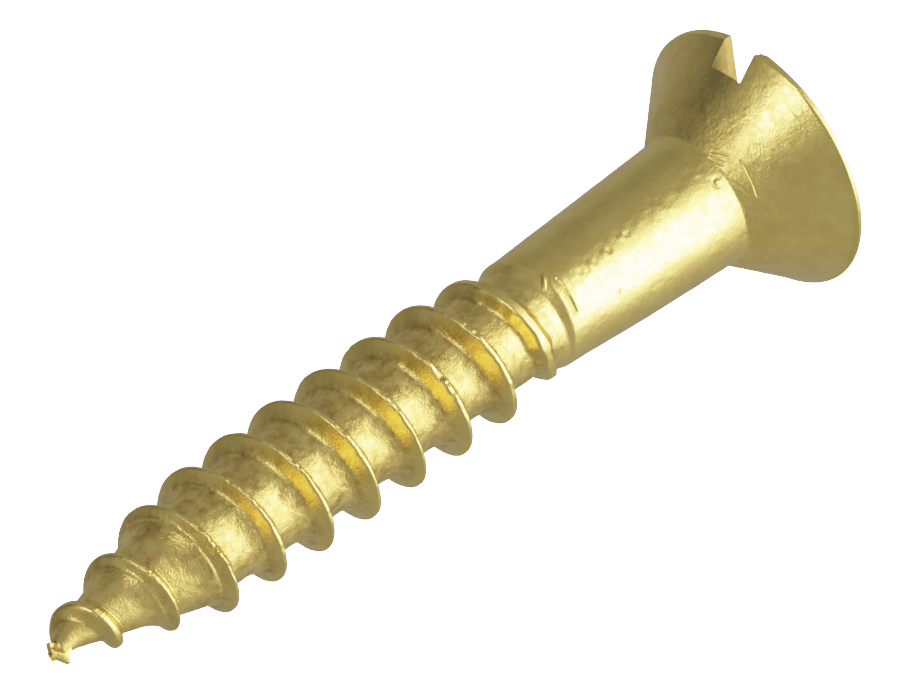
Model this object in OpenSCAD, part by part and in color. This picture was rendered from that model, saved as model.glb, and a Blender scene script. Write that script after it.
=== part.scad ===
// Slotted countersunk wood screw in solid brass.
// The head's flat face lies on z = 0 with its centre at the origin, and the tip points up +Z.
// The driver slot runs along X. The thread is right-handed.
// The screw is one piece of metal. It is drawn as five sections that meet face to face.

/* [Overall] */
// Length from the flat of the head to the end of the tip
overall_length = 31.75; // [29:0.25:38]

/* [Head] */
// Diameter of the head at its rim
head_diameter = 9.26; // [8.6:0.02:9.8]
// Height of the upright land around the rim
head_land = 0.18; // [0.1:0.02:0.4]
// Angle of the countersunk cone, from side to side
countersink_angle = 80; // [76:1:90]
// Width of the driver slot
slot_width = 1.3; // [1.2:0.02:1.6]
// Depth of the driver slot below the flat of the head
slot_depth = 1.05; // [0.8:0.05:1.4]
// How far the saw cut of the slot runs to one side of the centre
slot_offset = -0.15; // [-0.2:0.01:0.2]

/* [Shank] */
// Diameter of the plain shank where it meets the head
shank_diameter_at_head = 4.64; // [4.3:0.02:4.8]
// Diameter of the plain shank where the thread begins
shank_diameter_at_thread = 4.02; // [3.8:0.02:4.2]
// Distance from the flat of the head to the end of the plain shank
shank_end = 10.3; // [8.5:0.05:12]
// Length of the short shoulder between the shank and the thread's core
shoulder_length = 0.3; // [0.2:0.05:0.6]
// Diameter of the core where it begins, at the foot of the shoulder
core_diameter_at_shoulder = 3.72; // [3.6:0.02:3.8]
// Length over which the core narrows from there to its own diameter
core_run_out = 1.5; // [0.5:0.1:2]

/* [Thread] */
// Diameter over the crests of the thread
thread_diameter = 4.86; // [4.7:0.02:5.0]
// Diameter of the core between the threads
core_diameter = 3.38; // [3.2:0.02:3.5]
// Distance along the screw from one crest to the next
pitch = 2.03; // [1.9:0.01:2.2]
// Width of the blunt edge along the crest
crest_width = 0.12; // [0.08:0.02:0.2]
// Lean of each flank of the thread from the radial direction
flank_angle = 27; // [20:1:30]
// Angle about Z at which the crest starts, beside the shank
thread_start_angle = 167; // [0:1:359]

/* [Point] */
// Length of the tapered core that makes the gimlet point
point_length = 5.55; // [5:0.05:6.5]
// Radius left at the blunt end of the point
tip_radius = 0.22; // [0.15:0.01:0.35]

/* [Hidden] */
brass = [0.80, 0.68, 0.38];
$fn = 96;

head_radius = head_diameter / 2;
core_radius = core_diameter / 2;
crest_radius = thread_diameter / 2;
neck_radius = shank_diameter_at_head / 2;
shank_tip_radius = shank_diameter_at_thread / 2;
head_height = head_land + (head_radius - neck_radius) / tan(countersink_angle / 2);
core_start = shank_end + shoulder_length;
shoulder_radius = core_diameter_at_shoulder / 2;
core_end_of_run_out = core_start + core_run_out;
point_start = overall_length - point_length;

// The ridge is swept in steps of this many degrees
ridge_step = 10;
// Room between the shoulder and the first step of the ridge
ridge_start = core_start + 0.25;
// The ridge stops this far short of the tip
ridge_tip_gap = 0.45;
ridge_steps = floor((overall_length - ridge_tip_gap - ridge_start) / pitch * 360 / ridge_step);
// The ridge swells from nothing at this slope, and its crest then rises gently from the shank's radius
run_out_slope = 1.1;
run_out_rise = 0.15;
// The crests near the tip lie on a steep cone, and those behind them on a much flatter one
tip_crest_slope = 0.285;
tip_crest_radius = 0.54;
body_crest_slope = 0.03;
body_crest_radius = 2.11;
tip_swell_slope = 0.5;
tip_swell_start = 0.30;
// The lowest height that the ridge keeps at its two ends
least_height = 0.03;
// The chords of the ridge's inner edge just touch the round core
chord_lift = 1 / cos(ridge_step / 2);

// Radius of the core at height z, narrowing behind the shoulder and towards the tip
function core_at(z) =
    let (from_tip = max(overall_length - z, 0), left = (core_end_of_run_out - z) / core_run_out)
    from_tip < point_length ? tip_radius + (core_radius - tip_radius) * from_tip / point_length
    : core_radius + (shoulder_radius - core_radius) * min(max(left, 0), 1);

// Radius of the crest at height z, tapering at the shank and at the point
function crest_at(z) =
    let (up = z - ridge_start, from_tip = overall_length - z)
    max(core_at(z) + least_height,
        min(crest_radius,
            shoulder_radius + run_out_slope * up,
            shank_tip_radius + run_out_rise * up,
            tip_crest_radius + tip_crest_slope * from_tip,
            body_crest_radius + body_crest_slope * from_tip,
            core_at(z) + tip_swell_slope * (from_tip - tip_swell_start)));

// Half of the ridge's width at its foot, where the crest is at height z
function half_foot(z) = crest_width / 2 + (crest_at(z) - core_at(z)) * tan(flank_angle);

// A point at radius r, height z and the given angle
function around(r, z, angle) = [r * cos(angle), r * sin(angle), z];

// The four corners of the ridge's section at one step
function ridge_section(step) =
    let (angle = thread_start_angle + step * ridge_step,
         z = ridge_start + pitch * step * ridge_step / 360,
         foot = half_foot(z),
         edge = crest_width / 2)
    [around(core_at(z - foot) * chord_lift, z - foot, angle),
     around(core_at(z + foot) * chord_lift, z + foot, angle),
     around(crest_at(z), z + edge, angle),
     around(crest_at(z), z - edge, angle)];

// Upright land, countersunk cone and the sawn driver slot
module head() {
    color(brass)
    difference() {
        rotate_extrude()
            polygon([[0, 0], [head_radius, 0], [head_radius, head_land],
                     [neck_radius, head_height], [0, head_height]]);
        translate([-head_diameter, slot_offset - slot_width / 2, -slot_depth])
            cube([2 * head_diameter, slot_width, 2 * slot_depth]);
    }
}

// Plain shank, thicker towards the head, with the shoulder that steps down to the core
module shank() {
    color(brass)
    rotate_extrude()
        polygon([[0, head_height], [neck_radius, head_height], [shank_tip_radius, shank_end],
                 [shoulder_radius, core_start], [0, core_start]]);
}

// Core inside the thread, a little thicker where it begins and parallel from there
module thread_core() {
    color(brass)
    rotate_extrude()
        polygon([[0, core_start], [shoulder_radius, core_start],
                 [core_radius, core_end_of_run_out], [core_radius, point_start], [0, point_start]]);
}

// Tapered core of the gimlet point
module gimlet_point() {
    color(brass)
    rotate_extrude()
        polygon([[0, point_start], [core_radius, point_start],
                 [tip_radius, overall_length], [0, overall_length]]);
}

// Helical ridge wound on the core and the point
module thread_ridge() {
    corners = 4;
    points = [for (step = [0 : ridge_steps]) each ridge_section(step)];
    last = ridge_steps * corners;
    color(brass)
    polyhedron(points = points, faces = concat(
        [[0, 1, 2, 3]],
        [for (step = [0 : ridge_steps - 1], corner = [0 : corners - 1])
            let (here = step * corners + corner,
                 beside = step * corners + (corner + 1) % corners)
            each [[here, here + corners, beside + corners], [here, beside + corners, beside]]],
        [[last + 3, last + 2, last + 1, last]]));
}

head();
shank();
thread_core();
thread_ridge();
gimlet_point();
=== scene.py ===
import math

import bpy
import numpy as np
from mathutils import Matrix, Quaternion, Vector


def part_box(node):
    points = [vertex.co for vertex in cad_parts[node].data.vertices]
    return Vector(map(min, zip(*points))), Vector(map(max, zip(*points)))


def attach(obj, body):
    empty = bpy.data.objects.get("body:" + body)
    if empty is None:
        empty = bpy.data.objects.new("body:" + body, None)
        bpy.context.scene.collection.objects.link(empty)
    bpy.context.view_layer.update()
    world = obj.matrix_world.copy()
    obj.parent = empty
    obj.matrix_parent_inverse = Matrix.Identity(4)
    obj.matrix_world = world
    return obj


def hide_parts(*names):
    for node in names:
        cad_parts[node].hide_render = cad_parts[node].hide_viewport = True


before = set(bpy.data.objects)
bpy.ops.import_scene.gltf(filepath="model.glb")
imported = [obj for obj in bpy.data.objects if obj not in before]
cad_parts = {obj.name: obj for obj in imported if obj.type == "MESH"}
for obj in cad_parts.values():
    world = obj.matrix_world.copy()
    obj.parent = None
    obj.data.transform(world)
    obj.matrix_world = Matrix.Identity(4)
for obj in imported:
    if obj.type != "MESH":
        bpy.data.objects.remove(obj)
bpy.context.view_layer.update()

MM = 0.001

# ---------------------------------------------------------------- sizes, in millimetres
HEAD_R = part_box("head")[1].y / MM
NECK_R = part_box("shank")[1].x / MM
NECK_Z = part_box("head")[1].z / MM
CORE_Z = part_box("thread_core")[0].z / MM
POINT_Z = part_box("thread_core")[1].z / MM
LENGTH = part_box("gimlet_point")[1].z / MM
CORE_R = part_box("gimlet_point")[1].x / MM

# The upright land round the rim, the bevel above it and the rounding at the face
LAND = 0.18
BEVEL_SLOPE = 2
RIM_CORNER = 0.05
# The sawn slot, which runs a little to one side of the centre
SLOT_WIDTH, SLOT_DEPTH, SLOT_OFFSET = 1.30, 1.05, -0.15
SLOT_EDGE = 0.018
# The plain shank where the thread begins, with its shoulder, which is longer on one side
SHANK_TIP_R = 2.01
SHANK_END = CORE_Z - 0.30
SHOULDER_SLOPE = 0.55
LONG_SIDE, LONG_SIDE_TURN = 0.4, math.radians(54)
# The thread, with half of its crest's blunt edge
PITCH = 2.03
CREST_R = 2.43
CREST_FLAT = 0.06
FLANK_SLOPE = math.tan(math.radians(27))
RIDGE_START = CORE_Z + 0.25
START_TURN = math.radians(167)
# The crest leaves the shank's end, and then follows a flat cone and a steep one to the tip.
# A cone is given by its radius at the tip and its slope.
START_SLOPE, START_R, START_RISE = 1.1, SHANK_TIP_R + 0.05, 0.14
BODY_CREST_R, BODY_CREST_SLOPE = 2.11, 0.03
TIP_CREST_R, TIP_CREST_SLOPE = 0.54, 0.285
TIP_SWELL_START, TIP_SWELL_SLOPE = 0.3, 0.5
# The tip, and how far short of it the ridge and the round core stop
TIP_R = 0.22
TIP_GAP = 0.45
POINT_END = LENGTH - 0.2
# The root's last turn comes up to the shank's radius: where that begins, how steep and how far
RUN_OUT_START, RUN_OUT_SLOPE, RUN_OUT_LENGTH = 12.6, 0.165, 1.9
ROOT_HOLLOW = 0.17

# Heights over which the shape or the wear changes, from none of the change to all of it
SHANK_SWELLS = (SHANK_END, 6.5)
LINE_DRIFTS = (5.5, 9)
BAND_WIDENS = (11.1, 11.4)
BAND_NARROWS = (12.5, 11.8)
BAND_LINGERS = (14.8, 13.4)
BAND_STARTS = (11.45, 11.1)
TIP_CALMS = (26, 29)
TIP_ROUNDS = (26, 30)
TIP_MENDS = (27, 29)
TIP_WIDENS = (27, 30)

# Points round each piece, and steps of the ridge in a turn
HEAD_COLUMNS, SHANK_COLUMNS, CORE_COLUMNS, POINT_COLUMNS = 440, 420, 290, 160
STEPS_PER_TURN = 255

# The brass's colour, the studio's grey walls, and the strength that the film shows as pure white
TONE = (0.90, 0.72, 0.235)
AMBIENT = 0.46
BACKDROP = 5.0

# ---------------------------------------------------------------- camera and light directions
AZIMUTH, ELEVATION, ROLL = 44.0, 30.7, -124.75
DISTANCE, LENS = 600.0, 751.2
FACE_RIGHT, FACE_UP = 9.85, 5.805

NEAR_TURN = math.radians(AZIMUTH - 90)
VIEW_TURN = math.radians(AZIMUTH)
NEAR = Vector((math.sin(VIEW_TURN), -math.cos(VIEW_TURN), 0))
LEFT = Vector((-math.cos(VIEW_TURN), -math.sin(VIEW_TURN), 0))
UP = Vector((0, 0, 1))


def facing_left(turn, degrees):
    """Cosine of the angle from a direction that lies so many degrees to the camera's left."""
    return np.cos(turn - NEAR_TURN + math.radians(degrees))


def left_angle(turn):
    """The angle from the camera's side of the screw towards its left, from -pi to pi."""
    return (NEAR_TURN - turn + math.pi) % (2 * math.pi) - math.pi


def toward(left, near, up):
    """A unit direction given along the camera's left, towards the camera, and up the screw."""
    return (LEFT * left + NEAR * near + UP * up).normalized()


def make_camera():
    """The photograph's view: long lens, rolled so that the tip points down and to the left."""
    lift = math.radians(ELEVATION)
    back = NEAR * math.cos(lift) + UP * math.sin(lift)
    turn = (-back).to_track_quat("-Z", "Y") @ Quaternion((0, 0, 1), math.radians(ROLL))
    right, up = turn @ Vector((1, 0, 0)), turn @ Vector((0, 1, 0))
    data = bpy.data.cameras.new("camera")
    data.lens = LENS
    data.clip_start, data.clip_end = 0.01, 5.0
    camera = bpy.data.objects.new("camera", data)
    camera.rotation_mode = "QUATERNION"
    camera.rotation_quaternion = turn
    camera.location = (back * DISTANCE - right * FACE_RIGHT - up * FACE_UP) * MM
    bpy.context.scene.collection.objects.link(camera)
    bpy.context.scene.camera = camera


# ---------------------------------------------------------------- surface noise
LATTICE_SIDE = 48
LATTICE = np.random.default_rng(11).uniform(-1, 1, (LATTICE_SIDE,) * 3)


def grain(points, size, shift=0.0):
    """Smooth noise from -1 to 1 at points in millimetres, with bumps about size apart."""
    p = points / size + shift
    cell = np.floor(p).astype(int)
    f = p - cell
    f = f * f * f * (f * (f * 6 - 15) + 10)
    total = np.zeros(p.shape[:-1])
    for corner in np.ndindex(2, 2, 2):
        index = (cell + corner) % LATTICE_SIDE
        weight = np.prod(np.where(corner, f, 1 - f), axis=-1)
        total += weight * LATTICE[index[..., 0], index[..., 1], index[..., 2]]
    return total


def smooth(low, high, x):
    """0 below low, 1 above high, and a smooth step between."""
    t = np.clip((x - low) / (high - low), 0, 1)
    return t * t * (3 - 2 * t)


def soft_max(a, b, width):
    """The larger of a and b, with the corner between them rounded."""
    h = np.clip(0.5 + 0.5 * (a - b) / width, 0, 1)
    return b + (a - b) * h + width * h * (1 - h)


# ---------------------------------------------------------------- the screw's radii
def shank_radius(turn, z):
    """The tapered plain shank, a little fuller on its left side."""
    taper = NECK_R + (SHANK_TIP_R - NECK_R) * np.minimum((z - NECK_Z) / (SHANK_END - NECK_Z), 1)
    swell = 0.028 * smooth(*SHANK_SWELLS, z) * smooth(NECK_Z - 1.5, NECK_Z + 1.5, z)
    return taper + swell * (1 + facing_left(turn, 90))


def cone_radius(turn, z):
    """The countersunk cone. It is a little off centre from the rim, and full beside the slot."""
    height = (NECK_Z - z) / (NECK_Z - LAND)
    off_centre = 0.07 * (1 + facing_left(turn, 90))
    beside_slot = 0.13 * np.maximum(np.cos(turn), 0) ** 6
    return NECK_R + (HEAD_R - NECK_R) * height + (beside_slot - off_centre) * np.maximum(height, 0)


def core_radius(z):
    """The parallel core and the tapered core of the point."""
    taper = TIP_R + (CORE_R - TIP_R) * (LENGTH - z) / (LENGTH - POINT_Z)
    return -soft_max(-CORE_R, -taper, 0.05)


def crest_radius(z):
    """Radius of the crest: it leaves the shank's end, and falls away towards the tip."""
    up, from_tip = z - RIDGE_START, LENGTH - z
    core = core_radius(z)
    return np.maximum(core + 0.01, np.minimum.reduce([
        np.full_like(z, CREST_R),
        CORE_R + START_SLOPE * up,
        START_R + START_RISE * up,
        TIP_CREST_R + TIP_CREST_SLOPE * from_tip,
        BODY_CREST_R + BODY_CREST_SLOPE * from_tip,
        core + TIP_SWELL_SLOPE * (from_tip - TIP_SWELL_START)]))


def crest_below(turn, z):
    """Height of the first crest on the head's side of a point, and how far the point is above it."""
    lowest = RIDGE_START + PITCH * (turn - START_TURN) / (2 * math.pi)
    crest = lowest + PITCH * np.floor((z - lowest) / PITCH)
    return crest, z - crest


def groove_radius(turn, z):
    """The thread's root. It rises towards each flank that faces the tip, and comes up to the
    shank's radius in the groove's last turn."""
    crest, above = crest_below(turn, z)
    crest_ahead = crest + PITCH * smooth(0, 0.12, above)
    hollow = ROOT_HOLLOW * np.clip((1.05 - above) / 0.7, 0, 1) ** 2
    ends = smooth(RIDGE_START, RIDGE_START + 2, crest) * smooth(TIP_GAP + 0.5, TIP_GAP + 4, LENGTH - z)
    run_out = RUN_OUT_SLOPE * np.clip(RUN_OUT_START - crest_ahead, 0, RUN_OUT_LENGTH)
    return core_radius(z) + hollow * ends + run_out


def shoulder_height(turn):
    """Where the plain shank ends. The cut leaves it longer on one side."""
    return SHANK_END + LONG_SIDE * smooth(0.25, 1.0, np.cos(turn - LONG_SIDE_TURN))


def body_radius(turn, z):
    """The shank, its shoulder and the thread's root in one."""
    shoulder = SHANK_TIP_R - SHOULDER_SLOPE * (z - shoulder_height(turn))
    root = soft_max(groove_radius(turn, z), shoulder, 0.04)
    return soft_max(cone_radius(turn, z), -soft_max(-shank_radius(turn, z), -root, 0.03), 0.05)


# ---------------------------------------------------------------- skin
def hammered(points):
    """The uneven skin that rolling leaves in the thread's roots, fading out near the tip."""
    z = points[..., 2]
    fade = smooth(LENGTH - 2.0, LENGTH - 6.0, z) * smooth(SHANK_END + 0.1, SHANK_END + 0.8, z)
    return fade * (0.009 * grain(points, 0.34) + 0.009 * grain(points, 0.17, 5.3)) \
        + 0.005 * grain(points, 0.8, 9.1)


def dressed(points):
    """The orange peel on the plain surfaces, which is roughest round the neck."""
    scuffed = scuffing(points[..., 2])
    return (1 + 1.2 * scuffed) * 0.0045 * grain(points, 0.42, 3.7) \
        + (1 + 1.4 * scuffed) * 0.0034 * grain(points, 0.17, 7.9) \
        + 0.018 * rubbed(points) * grain(points, 0.21, 4.4)


def scuffing(z):
    """How scuffed the plain surfaces are at a height: most round the neck, a little at the shoulder."""
    return np.exp(-((z - NECK_Z + 0.35) / 0.75) ** 2) + 0.4 * smooth(SHANK_END - 0.6, SHANK_END, z)


def rubbed(points):
    """A rough line along the shank, on the camera's side. It drifts to the left towards the thread."""
    z = points[..., 2]
    angle = left_angle(np.arctan2(points[..., 1], points[..., 0]))
    line = math.radians(-19) + math.radians(15) * smooth(*LINE_DRIFTS, z)
    ends = smooth(NECK_Z, NECK_Z + 0.5, z) * smooth(SHANK_END, SHANK_END - 1, z)
    return np.exp(-((angle - line) / 0.11) ** 2) * ends


def rolling(z):
    """How hard the dies worked the metal at a height: less where the thread begins and at the point."""
    start = 0.35 + 0.65 * smooth(SHANK_END + 0.8, SHANK_END + 2.6, z)
    return start * (1 - 0.30 * smooth(*TIP_CALMS, z))


# Scratches as (angle, height) to (angle, height), half width and depth.
# Angles are in degrees from the camera's side of the screw towards its left.
SCRATCHES = [
    (-12, 9.98, 22, 10.02, 0.045, 0.045), (-23, 10.24, -11, 10.55, 0.06, -0.050),
    (27, 8.24, 31, 8.36, 0.03, 0.022), (-4, 2.36, 23, 2.44, 0.028, 0.035),
    (-2, 2.88, 20, 2.62, 0.028, 0.018), (-21, 2.93, -9, 2.78, 0.028, 0.026),
    (-22, 2.85, -10, 2.66, 0.025, 0.018), (-23, 2.76, -12, 2.51, 0.028, 0.024),
    (50, 2.95, 66, 3.15, 0.03, 0.012), (-10, 0.62, 6, 0.56, 0.025, 0.008),
    (-16, 0.95, 4, 0.80, 0.02, 0.006), (100, 5.2, 118, 4.7, 0.03, 0.014),
    (-170, 6.9, -163, 6.2, 0.03, 0.014), (160, 1.6, 171, 1.1, 0.03, 0.014),
    (-120, 4.4, -111, 4.9, 0.03, 0.014),
]

# A round ding on the shank as (angle, height), radius, half width and depth
DING = (-1, 3.25, 0.16, 0.05, 0.032)


def scored(turn, z, radius):
    """How deep the scratches and the ding cut the skin, less the lips that the scratches throw up."""
    angle = left_angle(turn)
    depth = np.zeros_like(radius)
    for start, low, stop, high, width, deep in SCRATCHES:
        run, rise = math.radians(stop - start) * radius, high - low
        u, v = (angle - math.radians(start)) * radius, z - low
        along = np.clip((u * run + v * rise) / (run * run + rise * rise), 0, 1)
        gap = np.hypot(u - along * run, v - along * rise) / width
        fade = 0.4 + 0.6 * np.sin(math.pi * (0.15 + 0.7 * along))
        depth += deep * fade * (np.exp(-gap ** 2) - 0.25 * np.exp(-(gap - 1.8) ** 2))
    middle, height, ring, width, deep = DING
    u, v = (angle - math.radians(middle)) * radius, z - height
    arc = 0.5 + 0.5 * np.clip((0.8 * v - 0.6 * u) / ring, -1, 1)
    return depth + deep * arc * np.exp(-((np.hypot(u, v) - ring) / width) ** 2)


# ---------------------------------------------------------------- mesh helpers
def add_mesh(name, points, faces, sharp=50):
    """A closed smooth mesh from points in millimetres, creased where faces meet sharply."""
    mesh = bpy.data.meshes.new(name)
    mesh.from_pydata((np.asarray(points) * MM).tolist(), [], faces)
    mesh.validate()
    crease(mesh, sharp)
    piece = bpy.data.objects.new(name, mesh)
    bpy.context.scene.collection.objects.link(piece)
    return piece


def crease(mesh, sharp):
    """Shades a mesh smooth, apart from the edges sharper than an angle in degrees."""
    mesh.shade_smooth()
    mesh.set_sharp_from_angle(angle=math.radians(sharp))


def polar(radii, turns, z):
    """Points from radius, angle and height."""
    return np.stack([radii * np.cos(turns), radii * np.sin(turns), z], axis=-1)


def swept_faces(rows, columns):
    """Quads between rings, closed round each ring, and a cap on the first and the last ring."""
    r, c = np.meshgrid(np.arange(rows - 1), np.arange(columns), indexing="ij")
    beside = (c + 1) % columns
    quads = np.stack([r * columns + c, r * columns + beside,
                      (r + 1) * columns + beside, (r + 1) * columns + c], axis=2)
    first, last = range(columns), range((rows - 1) * columns, rows * columns)
    return quads.reshape(-1, 4).tolist() + [list(first)[::-1], list(last)]


def turned_piece(name, radius_at, heights, columns, skin):
    """A closed solid made of rings, whose radius depends on height and angle."""
    turns, z = np.meshgrid(np.linspace(0, 2 * math.pi, columns, endpoint=False), heights)
    radii = radius_at(turns, z)
    radii = radii + skin(polar(radii, turns, z), turns, z, radii)
    return add_mesh(name, polar(radii, turns, z).reshape(-1, 3), swept_faces(len(heights), columns))


def mark_worked(piece, amount):
    """Stores how much each point was worked by the rolling dies, which the material reads. It also sets
    where the brown patches of partly painted shade go.
    """
    layer = piece.data.attributes.new("worked", "FLOAT", "POINT")
    layer.data.foreach_set("value", np.broadcast_to(amount, len(layer.data)).astype(np.float32))


def settle(piece, *nodes):
    """Every piece rides on the one body and stands for its CAD nodes, which it hides."""
    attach(piece, "root")
    if nodes:
        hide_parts(*nodes)
    return piece


# ---------------------------------------------------------------- head
def head_heights():
    """Heights of the rings up the side of the head, closest together at its corners."""
    corner = RIM_CORNER * (1 - np.cos(np.linspace(0, math.pi / 2, 7)))
    land = np.linspace(RIM_CORNER, LAND - 0.04, 6)[1:]
    bevel = np.linspace(LAND - 0.02, LAND + 0.16, 12)
    cone = np.linspace(LAND + 0.18, NECK_Z, 122)
    return np.concatenate([corner, land, bevel, cone])


def land_height(turn):
    """Height of the upright land, which thins out on the rim's left side."""
    return LAND - 0.12 * np.maximum(facing_left(turn, 115), 0) ** 2


def head_radius(turn, z):
    """The rounded rim, the upright land with its bevel, and the cone that runs into the shank."""
    into_corner = np.clip(1 - z / RIM_CORNER, 0, 1)
    rim = HEAD_R - RIM_CORNER * (1 - np.sqrt(1 - into_corner ** 2))
    bevel = HEAD_R - BEVEL_SLOPE * (z - land_height(turn))
    side = soft_max(np.maximum(cone_radius(turn, z), bevel), shank_radius(turn, z), 0.05)
    return np.where(z < RIM_CORNER, rim, -soft_max(-HEAD_R, -side, 0.02))


def head_skin(points, turn, z, radius):
    """Orange peel and scratches, which stop short of the face and never stand out past the rim."""
    skin = dressed(points) - scored(turn, z, radius)
    return np.minimum(skin * smooth(0.0, 0.1, z), HEAD_R - radius)


def make_head(material, cut_material):
    """The turned head with its sawn slot, its battered corner and its scuffs."""
    head = turned_piece("countersunk_head", head_radius, head_heights(), HEAD_COLUMNS, head_skin)
    head.data.materials.append(material)
    head.data.materials.append(cut_material)
    cut_slot(head, cut_material)
    wear_corner(head)
    crease(head.data, 40)
    mark_worked(head, scuffing(np.array([vertex.co.z for vertex in head.data.vertices]) / MM))
    return settle(head, "head")


def cut_slot(head, cut_material):
    """Saws the driver slot across the head and breaks its edges."""
    low, high = SLOT_OFFSET - SLOT_WIDTH / 2, SLOT_OFFSET + SLOT_WIDTH / 2
    reach = HEAD_R + 1
    corners = [(x, y, z) for z in (-1, SLOT_DEPTH) for y in (low, high) for x in (-reach, reach)]
    faces = [(0, 2, 3, 1), (4, 5, 7, 6), (0, 1, 5, 4), (2, 6, 7, 3), (0, 4, 6, 2), (1, 3, 7, 5)]
    saw = add_mesh("saw", np.array(corners, dtype=float), faces)
    saw.data.materials.append(cut_material)
    cut = head.modifiers.new("slot", "BOOLEAN")
    cut.operation, cut.object, cut.solver = "DIFFERENCE", saw, "EXACT"
    cut.material_mode = "TRANSFER"
    edge = head.modifiers.new("edge", "BEVEL")
    edge.limit_method, edge.angle_limit = "ANGLE", math.radians(55)
    edge.width, edge.segments = SLOT_EDGE * MM, 2
    bake_modifiers(head)
    bpy.data.objects.remove(saw)


def bake_modifiers(piece):
    """Puts a piece's modifiers into its mesh for good."""
    graph = bpy.context.evaluated_depsgraph_get()
    piece.data = bpy.data.meshes.new_from_object(piece.evaluated_get(graph))
    piece.modifiers.clear()


def wear_corner(head):
    """Rounds off the battered corner where the slot leaves the rim on the camera's side."""
    y = SLOT_OFFSET - SLOT_WIDTH / 2
    corner = Vector((math.sqrt(HEAD_R ** 2 - y ** 2), y, 0)) * MM
    push = Vector((-0.10, -0.03, 0.0)) * MM
    reach = 0.36 * MM
    for vertex in head.data.vertices:
        gap = (vertex.co - corner).length / reach
        if gap < 1:
            vertex.co += push * (1 - gap * gap) ** 2


# ---------------------------------------------------------------- shank
def make_shank(material):
    """The plain shank and its shoulder, with the rings closer together at the shoulder."""
    heights = np.concatenate([np.linspace(NECK_Z, SHANK_END - 0.5, 170),
                              np.linspace(SHANK_END - 0.48, CORE_Z, 42)])
    shank = turned_piece("plain_shank", body_radius, heights, SHANK_COLUMNS,
                         lambda points, turn, z, radius: dressed(points) - scored(turn, z, radius))
    shank.data.materials.append(material)
    mark_worked(shank, np.repeat(scuffing(heights), SHANK_COLUMNS))
    return settle(shank, "shank")


# ---------------------------------------------------------------- thread
def make_core(material):
    """The thread's roots from the shoulder to the point."""
    heights = np.linspace(CORE_Z, POINT_Z, 320)
    core = turned_piece("thread_root", body_radius, heights, CORE_COLUMNS,
                        lambda points, turn, z, radius: hammered(points))
    core.data.materials.append(material)
    mark_worked(core, np.repeat(rolling(heights), CORE_COLUMNS))
    return settle(core, "thread_core")


def point_radius(turn, z):
    """The core of the point, drawn in at its blunt end."""
    return body_radius(turn, z) * (1 - 0.6 * smooth(POINT_END - 0.25, POINT_END, z) ** 2)


def make_point(material):
    """The tapered core of the point. Its end is pinched over to the left."""
    heights = np.linspace(POINT_Z, POINT_END, 120)
    point = turned_piece("gimlet_cone", point_radius, heights, POINT_COLUMNS,
                         lambda points, turn, z, radius: hammered(points))
    for vertex in point.data.vertices:
        vertex.co += LEFT * float(pinch(vertex.co.z / MM)) * MM
    point.data.materials.append(material)
    mark_worked(point, rolling(np.array([vertex.co.z for vertex in point.data.vertices]) / MM))
    return settle(point, "gimlet_point")


def pinch(z):
    """How far the end of the point leans to the left."""
    return 0.20 * smooth(LENGTH - 1.1, LENGTH, z)


def make_burr(material):
    """The crooked sliver that is left where the point was pinched off its wire."""
    rows, columns = 13, 9
    low_left, low_right = Vector((-0.16, 0.24, -0.18)), Vector((0.25, 0.20, -0.02))
    high_left, high_right = Vector((0.34, 0.30, -0.72)), Vector((0.76, 0.14, -0.43))
    front = []
    for r in range(rows):
        for c in range(columns):
            u, v = r / (rows - 1), c / (columns - 1)
            spot = low_left.lerp(high_left, u).lerp(low_right.lerp(high_right, u), v)
            hollow = 0.20 * math.exp(-((u - 0.35) / 0.22) ** 2 - ((v - 0.30) / 0.20) ** 2)
            bulge = 0.05 * (1 - (2 * u - 1) ** 2) * (1 - (2 * v - 1) ** 2)
            front.append(spot + Vector((0, bulge - hollow, 0)))
    through = Vector((-0.03, -0.36, -0.06))
    back = [spot + through for spot in front]
    points = [LEFT * spot.x + NEAR * spot.y + UP * (LENGTH + spot.z) for spot in front + back]
    burr = add_mesh("pinch_off_burr", points, slab_faces(rows, columns), 35)
    burr.data.materials.append(material)
    mark_worked(burr, 0.4)
    return settle(burr)


def slab_faces(rows, columns):
    """Faces of a closed slab: a front grid, a back grid and the four sides between them."""
    count = rows * columns
    faces = []
    for r in range(rows - 1):
        for c in range(columns - 1):
            low, high = r * columns + c, (r + 1) * columns + c
            quad = [low, low + 1, high + 1, high]
            faces += [quad, [count + i for i in reversed(quad)]]
    border = list(range(columns)) + [r * columns + columns - 1 for r in range(1, rows)]
    border += [(rows - 1) * columns + c for c in range(columns - 2, -1, -1)]
    border += [r * columns for r in range(rows - 2, 0, -1)]
    for here, beside in zip(border, border[1:] + border[:1]):
        faces.append([here, count + here, count + beside, beside])
    return faces


def section_offsets():
    """Places across the ridge's section, from -1 to 1 and closer together near the crest."""
    even = np.linspace(-1, 1, 35)
    return np.sign(even) * np.abs(even) ** 1.35


def ridge_path():
    """Angle and height of the ridge's middle at each step, as two columns of numbers."""
    steps = int((LENGTH - TIP_GAP - RIDGE_START) / PITCH * STEPS_PER_TURN)
    step = np.arange(steps + 1)[:, None]
    turn = START_TURN + step * 2 * math.pi / STEPS_PER_TURN
    return turn, RIDGE_START + PITCH * step / STEPS_PER_TURN


def wide_band(middle):
    """How wide the crest is along its length: a band on its first turn, and a trace on the next."""
    band = np.maximum(smooth(*BAND_NARROWS, middle), 0.25 * smooth(*BAND_LINGERS, middle))
    return smooth(*BAND_WIDENS, middle) * band


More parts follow.
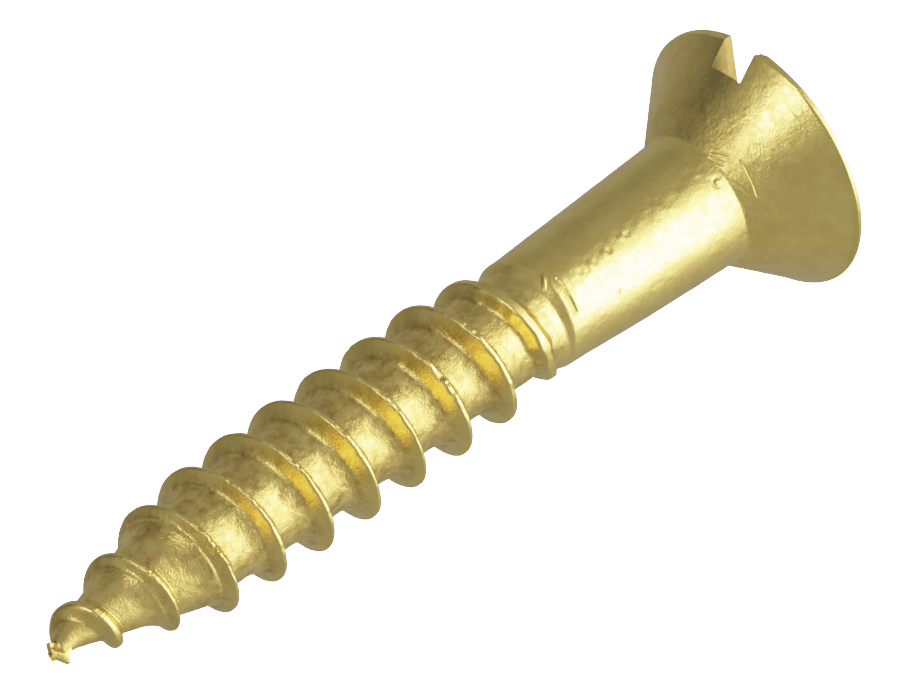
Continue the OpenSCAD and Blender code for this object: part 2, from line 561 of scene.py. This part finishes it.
def worn_crest(turn, middle):
    """Along the crest: its radius, half width, shift towards the tip, and the beads on its edge."""
    along = polar(np.full_like(middle, CREST_R), turn, middle)
    near = np.exp(-(left_angle(turn) / 0.55) ** 2)
    torn = (0.4 + 0.6 * smooth(-0.25, 0.35, grain(along, 1.7, 1.3))) * (0.1 + 0.9 * near)
    torn *= 1 - 0.75 * smooth(*TIP_MENDS, middle)
    crest = crest_radius(middle)
    tall = smooth(0.1, 0.5, crest - core_radius(middle))
    wide = wide_band(middle)
    notches = 0.12 * np.clip(grain(along, 0.19, 3.3) - 0.15, 0, 1)
    beads = (0.006 + torn * (1 - wide) * (0.08 * grain(along, 0.14, 6.6) - notches)) * tall
    waves = 0.012 * grain(along, 1.1, 2.2) - 0.008 - 0.010 * torn
    crest = np.minimum(crest + waves * tall, CREST_R)
    start = smooth(*BAND_STARTS, middle)
    flat = CREST_FLAT * (1.0 + 0.3 * grain(along, 1.2, 8.8)) + 0.10 * smooth(*TIP_WIDENS, middle)
    flat += 0.09 * wide * (1 + 0.6 * grain(along, 0.5, 2.9)) + 0.08 * start
    return crest, flat, 0.14 * (wide - start), beads


def ridge_peak(offset, middle, crest, flat, shift, beads):
    """Radius of the ridge's own section: a blunt crest with its beads, and two sloping flanks."""
    aside = np.abs(offset - shift)
    rounding = 0.03 + 0.4 * np.abs(shift) + 0.17 * smooth(*TIP_ROUNDS, middle)
    peak = crest - soft_max((aside - flat) / FLANK_SLOPE, 0.0, rounding)
    return peak + beads * np.exp(-(aside / (flat + 0.03)) ** 4)


def ridge_fillet(offset, middle, shift):
    """Size of the fillets at the ridge's foot: tighter on the tip's side, and gone at both ends."""
    ends = smooth(0, 0.6, middle - RIDGE_START) * smooth(TIP_GAP, TIP_GAP + 1.0, LENGTH - middle)
    return np.where(offset > 0, 0.12, 0.16 + np.abs(shift)) * ends + 0.01


def make_ridge(material):
    """The rolled ridge: a section swept up the helix, flat and wide where it leaves the shank."""
    turn, middle = ridge_path()
    crest, flat, shift, beads = worn_crest(turn, middle)
    foot = (crest - core_radius(middle)) * FLANK_SLOPE + flat + np.abs(shift) + 0.22
    across = section_offsets()
    offset = foot * across
    z = middle + offset
    turns = np.broadcast_to(turn, z.shape)

    base = body_radius(turns, z)
    peak = ridge_peak(offset, middle, crest, flat, shift, beads)
    rise = soft_max(peak, base, ridge_fillet(offset, middle, shift)) - base
    skin = hammered(polar(base, turns, z)) * (1 - 0.8 * smooth(0.05, 0.5, rise))
    radius = base + rise + skin - 0.03 * smooth(0.86, 1.0, np.abs(across))
    outer = polar(radius, turns, z) + np.array(LEFT) * pinch(z)[..., None]
    inner = polar(base[:, [-1, 0]] - 0.12, turns[:, [-1, 0]], z[:, [-1, 0]])
    section = np.concatenate([outer, inner], axis=1)

    faces = [face[::-1] for face in swept_faces(*section.shape[:2])]
    ridge = add_mesh("thread_ridge_rolled", section.reshape(-1, 3), faces, 55)
    worked = np.ones(section.shape[:2])
    # Least worked up the flanks, so the brown patches of painted shade and tarnish gather at the
    # ridge's foot, in the roots
    worked[:, :-2] = rolling(z) * (1 - 0.9 * smooth(0.03, 0.45, rise))
    mark_worked(ridge, worked.reshape(-1))
    ridge.data.materials.append(material)
    return settle(ridge, "thread_ridge")


# ---------------------------------------------------------------- brass
class Nodes:
    """A thin helper for building a node tree."""

    def __init__(self, tree):
        self.tree = tree
        tree.nodes.clear()

    def add(self, kind, **settings):
        node = self.tree.nodes.new(kind)
        for key, value in settings.items():
            if hasattr(node, key):
                setattr(node, key, value)
            else:
                node.inputs[key.replace("_", " ")].default_value = value
        return node

    def join(self, a, b):
        self.tree.links.new(a, b)

    def feed(self, value, socket):
        """Links a socket's value, or sets a plain number."""
        if isinstance(value, (int, float)):
            socket.default_value = value
        else:
            self.join(value, socket)

    def noise(self, where, scale, detail, roughness):
        """Noise from 0 to 1 over the points of a socket."""
        node = self.add("ShaderNodeTexNoise", Scale=scale, Detail=detail, Roughness=roughness)
        self.join(where, node.inputs["Vector"])
        return node.outputs["Fac"]

    def mix(self, amount, low, high):
        """Goes from low to high as an amount goes from 0 to 1."""
        node = self.add("ShaderNodeMapRange")
        self.join(amount, node.inputs["Value"])
        self.feed(low, node.inputs["To Min"])
        self.feed(high, node.inputs["To Max"])
        return node.outputs["Result"]

    def span(self, amount, low, high):
        """Spreads the middle of a noise over the range from low to high."""
        node = self.add("ShaderNodeMapRange")
        self.join(amount, node.inputs["Value"])
        for name, value in (("From Min", 0.3), ("From Max", 0.7), ("To Min", low), ("To Max", high)):
            node.inputs[name].default_value = value
        return node.outputs["Result"]

    def calculate(self, operation, a, b=0.0, clamp=False):
        """The result of a maths node. a and b are sockets or plain numbers."""
        node = self.add("ShaderNodeMath", operation=operation)
        node.use_clamp = clamp
        self.feed(a, node.inputs[0])
        self.feed(b, node.inputs[1])
        return node.outputs[0]

    def along(self, where, axis):
        """How far a point lies along an axis."""
        node = self.add("ShaderNodeVectorMath", operation="DOT_PRODUCT")
        node.inputs[1].default_value = axis
        self.join(where, node.inputs[0])
        return node.outputs["Value"]

    def blend(self, amount, metal, colour):
        """Mixes a plain colour over a socket's colour."""
        node = self.add("ShaderNodeMix", data_type="RGBA")
        self.join(amount, node.inputs[0])
        self.join(metal, node.inputs[6])
        node.inputs[7].default_value = (*colour, 1)
        return node.outputs[2]

    def ramp(self, amount, low, high, start, stop):
        """A colour that goes from low to high as an amount goes from start to stop."""
        node = self.add("ShaderNodeValToRGB")
        for element, position, colour in zip(node.color_ramp.elements, (start, stop), (low, high)):
            element.position, element.color = position, (*colour, 1)
        self.join(amount, node.inputs["Fac"])
        return node.outputs["Color"]


def shaded(tone, shares):
    """A tone with its red, green and blue each cut to a share."""
    return tuple(part * share for part, share in zip(tone, shares))


def brass(name, tone, calm, worked, stain_and_shade):
    """Brass with patches of tone and uneven polish. calm and worked each give the roughness and
    the depth in millimetres of the fine bumps, for smooth metal and for metal the dies worked.
    The last argument is how brown the worked metal turns: partly real tarnish, and partly painted shade
    that darkens the thread's roots."""
    material = bpy.data.materials.new(name)
    material.use_nodes = True
    n = Nodes(material.node_tree)
    out = n.add("ShaderNodeOutputMaterial")
    shader = n.add("ShaderNodeBsdfPrincipled", Metallic=1.0)
    n.join(shader.outputs["BSDF"], out.inputs["Surface"])
    place = n.add("ShaderNodeTexCoord")
    scale = n.add("ShaderNodeVectorMath", operation="SCALE")
    scale.inputs["Scale"].default_value = 1 / MM
    n.join(place.outputs["Object"], scale.inputs[0])
    where = scale.outputs["Vector"]
    amount = n.add("ShaderNodeAttribute", attribute_name="worked").outputs["Fac"]

    patches = n.noise(where, 0.9, 5.0, 0.6)
    metal = n.ramp(patches, shaded(tone, (0.92, 0.89, 0.84)), tone, 0.35, 0.62)
    # Brown patches on the worked metal: partly real tarnish, and partly painted shade in the thread's
    # roots
    blots_and_shade = n.span(n.noise(where, 2.3, 5.0, 0.62), -0.4 * stain_and_shade, stain_and_shade)
    stain_and_shade_mask = n.calculate("MULTIPLY", blots_and_shade, amount, clamp=True)
    stained_and_shaded = n.blend(stain_and_shade_mask, metal, shaded(tone, (0.62, 0.51, 0.42)))
    n.join(stained_and_shaded, shader.inputs["Base Color"])

    polish = n.noise(where, 3.2, 4.0, 0.65)
    smooth_part = n.span(polish, calm[0] - 0.06, calm[0] + 0.06)
    rough_part = n.span(polish, worked[0] - 0.08, worked[0] + 0.08)
    n.join(n.mix(amount, smooth_part, rough_part), shader.inputs["Roughness"])

    peel = n.noise(where, 12.0, 2.0, 0.5)
    bump = n.add("ShaderNodeBump", Strength=1.0)
    n.join(n.mix(amount, calm[1] * MM, worked[1] * MM), bump.inputs["Distance"])
    n.join(peel, bump.inputs["Height"])
    n.join(bump.outputs["Normal"], shader.inputs["Normal"])
    return material


# ---------------------------------------------------------------- stage
def make_floor():
    """A plain white floor that is seen only by the camera, so it doesn't wash out the metal. It is
    clear from below, so that the head's flat face can be looked at."""
    reach, below = 2.0, 0.00001
    corners = [(-reach, -reach), (reach, -reach), (reach, reach), (-reach, reach)]
    mesh = bpy.data.meshes.new("floor")
    mesh.from_pydata([(x, y, -below) for x, y in corners], [], [(0, 1, 2, 3)])
    floor = bpy.data.objects.new("floor", mesh)
    bpy.context.scene.collection.objects.link(floor)
    material = bpy.data.materials.new("white_floor")
    material.use_nodes = True
    n = Nodes(material.node_tree)
    out = n.add("ShaderNodeOutputMaterial")
    white = n.add("ShaderNodeEmission", Strength=BACKDROP)
    clear = n.add("ShaderNodeBsdfTransparent")
    choose = n.add("ShaderNodeMixShader")
    n.join(n.add("ShaderNodeNewGeometry").outputs["Backfacing"], choose.inputs["Fac"])
    n.join(white.outputs["Emission"], choose.inputs[1])
    n.join(clear.outputs["BSDF"], choose.inputs[2])
    n.join(choose.outputs["Shader"], out.inputs["Surface"])
    floor.data.materials.append(material)
    floor.visible_glossy = False
    floor.visible_diffuse = False
    floor.visible_shadow = False


def softbox(n, direction, wide, high, edge, strength):
    """A soft-edged rectangle in the studio around the screw. It is a light, or a dark card where the
    strength is negative. Its half width, half height and edge are sines of angles."""
    side = UP.cross(direction).normalized()
    rise = direction.cross(side)
    where = n.add("ShaderNodeTexCoord").outputs["Generated"]
    box = n.calculate("GREATER_THAN", n.along(where, direction), 0.0)
    for axis, half in ((side, wide), (rise, high)):
        fade = n.add("ShaderNodeMapRange", interpolation_type="SMOOTHSTEP")
        fade.inputs["From Min"].default_value = half + edge
        fade.inputs["From Max"].default_value = half - edge
        n.join(n.calculate("ABSOLUTE", n.along(where, axis)), fade.inputs["Value"])
        box = n.calculate("MULTIPLY", box, fade.outputs["Result"])
    return n.calculate("MULTIPLY", box, strength)


def make_studio():
    """Soft grey walls with three lights on the left and in front, and three dark cards on the right."""
    world = bpy.data.worlds.new("studio")
    bpy.context.scene.world = world
    world.use_nodes = True
    n = Nodes(world.node_tree)
    boxes = [
        # The long key light below, the light on the cone and a faint fill
        (toward(0.48, 0.74, -0.50), 0.53, 0.20, 0.26, 6.0),
        (toward(-0.23, 0.62, 0.75), 0.12, 0.13, 0.08, 9.0),
        (toward(0.95, 0.10, -0.25), 0.50, 0.35, 0.35, 0.30),
        # The dark cards
        (toward(-0.78, -0.36, 0.50), 0.50, 0.35, 0.30, -0.22),
        (toward(-0.85, 0.05, -0.50), 0.25, 0.30, 0.25, -0.14),
        (toward(-0.87, 0.02, 0.50), 0.17, 0.30, 0.15, -0.24),
    ]
    light = AMBIENT
    for box in boxes:
        light = n.calculate("ADD", light, softbox(n, *box))
    walls = n.add("ShaderNodeBackground")
    n.join(light, walls.inputs["Strength"])
    backdrop = n.add("ShaderNodeBackground", Strength=BACKDROP)
    path = n.add("ShaderNodeLightPath")
    choose = n.add("ShaderNodeMixShader")
    n.join(path.outputs["Is Camera Ray"], choose.inputs["Fac"])
    n.join(walls.outputs["Background"], choose.inputs[1])
    n.join(backdrop.outputs["Background"], choose.inputs[2])
    out = n.add("ShaderNodeOutputWorld")
    n.join(choose.outputs["Shader"], out.inputs["Surface"])


def make_film():
    """A film with a gentle shoulder, so that the brightest metal turns cream, and then white. One
    curve rolls all colours off above the knee, and another bleaches bright yellow."""
    knee = 0.4
    view = bpy.context.scene.view_settings
    view.view_transform = "Standard"
    view.use_curve_mapping = True
    mapping = view.curve_mapping
    mapping.white_level = (BACKDROP, BACKDROP, BACKDROP)
    combined, blue = mapping.curves[3], mapping.curves[2]
    for exposed in (knee, 0.55, 0.7, 0.85, 1.0, 1.2, 1.5, 1.8, 2.2, 2.8, 3.6):
        shown = 1 - (1 - knee) * math.exp((knee - exposed) / (1 - knee))
        combined.points.new(exposed / BACKDROP, shown)
    for plain, bleached in ((0.3, 0.3), (0.5, 0.5), (0.57, 0.62), (0.7, 1.1), (0.9, 1.8), (1.5, 3.2)):
        blue.points.new(plain / BACKDROP, bleached / BACKDROP)
    mapping.update()


# ---------------------------------------------------------------- the whole scene
make_camera()
make_floor()
make_studio()
make_film()
turned = brass("brass_turned", TONE, (0.30, 0.007), (0.40, 0.014), 0.3)
rolled = brass("brass_rolled", TONE, (0.32, 0.006), (0.37, 0.017), 1.0)
sawn = brass("brass_sawn", (0.58, 0.44, 0.16), (0.55, 0.006), (0.55, 0.006), 0.0)
make_head(turned, sawn)
make_shank(turned)
make_core(rolled)
make_point(rolled)
make_ridge(rolled)
make_burr(rolled)
